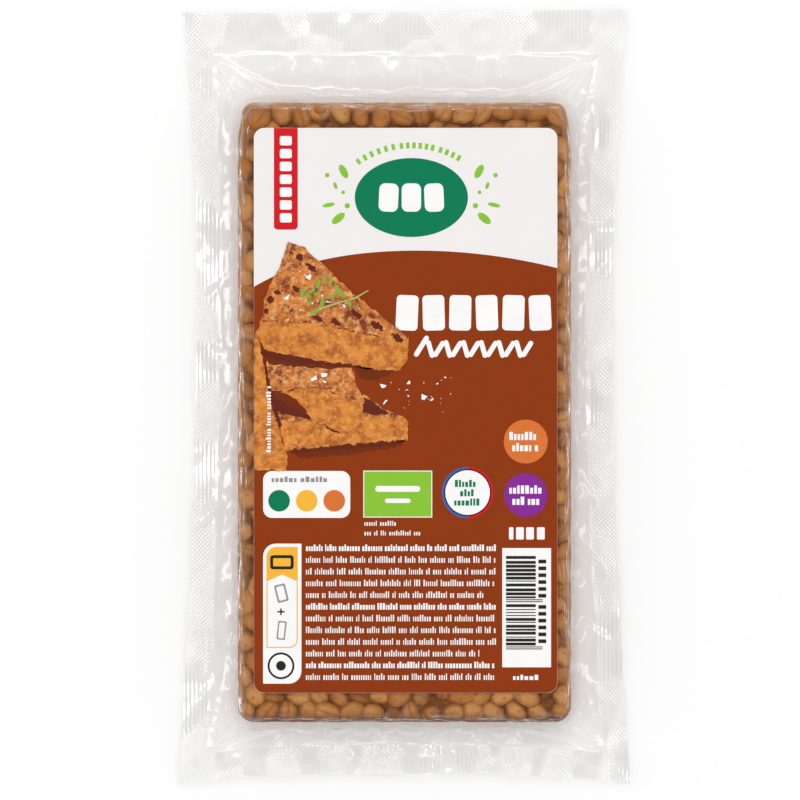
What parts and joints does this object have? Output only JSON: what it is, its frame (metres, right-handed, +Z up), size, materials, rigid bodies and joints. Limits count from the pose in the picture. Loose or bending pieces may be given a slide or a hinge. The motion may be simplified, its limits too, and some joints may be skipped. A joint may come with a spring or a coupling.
{
  "type": "vacuum-packed tempeh cake",
  "caption": "Flat slab of pressed soybeans in a clear vacuum pouch, heat-sealed on all four sides, with a printed round-cornered label on its front.",
  "frame": {"origin": "middle of the pack's outline, on the flat back that it lies on", "axes": "+X across the pack to the right of the label, +Y along it to the top of the label, +Z up out of the label"},
  "size_m": [0.122, 0.209, 0.0104],
  "materials": {
    "clear_film": "clear glossy film, wrinkled round its contents, with pressed seals",
    "label_paper": "satin coated off-white paper",
    "label_print": "flat fields of printing ink",
    "tempeh": "moist pressed soybeans, browned by smoking, bound by pale mould"
  },
  "bodies": {
    "root": {"vacuum_pouch": "clear_film", "label": "label_paper"}
  },
  "joints": []
}
